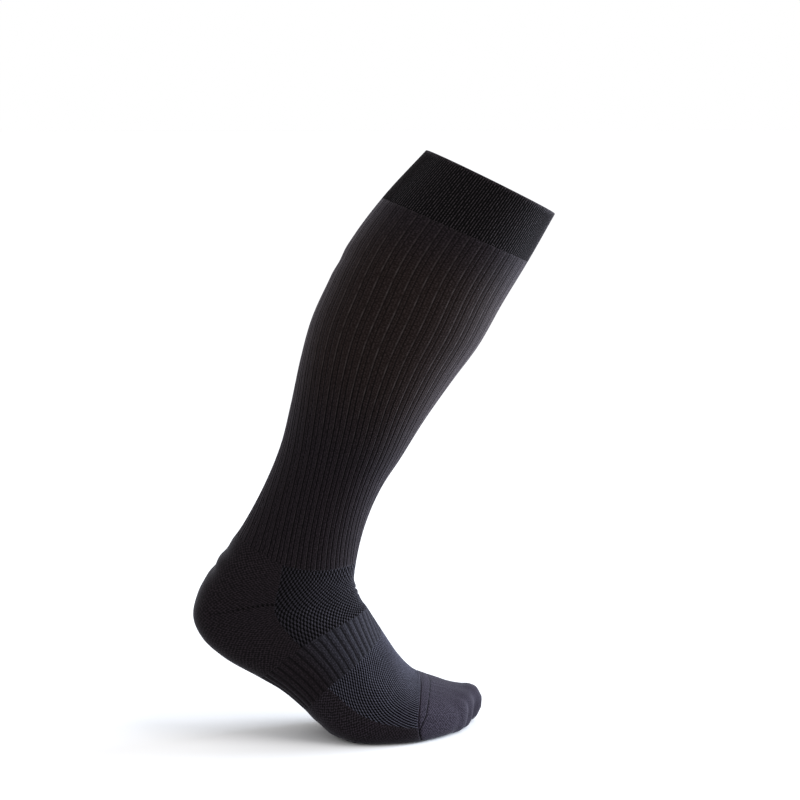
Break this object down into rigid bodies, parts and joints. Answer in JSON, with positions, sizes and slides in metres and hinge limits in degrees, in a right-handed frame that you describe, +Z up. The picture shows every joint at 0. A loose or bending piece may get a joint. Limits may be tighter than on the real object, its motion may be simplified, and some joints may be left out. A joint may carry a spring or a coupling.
{
  "type": "compression stocking",
  "caption": "Knee-high ribbed compression stocking in its worn form, heel lifted, open at the top, with a mesh instep and forefoot, an arch band, a heel pocket and a closed toe.",
  "frame": {"origin": "centre of the open rim at the top, where the stocking grips the leg under the knee", "axes": "+X forward, towards the toes; +Y towards the big toe's side of this right foot; +Z up from the floor"},
  "size_m": [0.2913, 0.1214, 0.4735],
  "materials": {
    "welt_knit": "matte doubled fine rib knit",
    "rib_knit": "matte ribbed elastic knit with a faint sheen at grazing angles",
    "mesh_knit": "open mesh knit with small regular holes",
    "plain_knit": "matte plain cushioned knit",
    "toe_knit": "fine plain knit, slightly heathered"
  },
  "bodies": {
    "root": {"welt": "welt_knit", "leg_calf": "rib_knit", "leg_shin": "rib_knit", "leg_ankle": "rib_knit", "ankle_mesh": "mesh_knit", "heel_pocket": "plain_knit", "arch_band": "rib_knit", "forefoot_mesh": "mesh_knit", "sole": "plain_knit", "toe_cap": "toe_knit"}
  },
  "joints": []
}
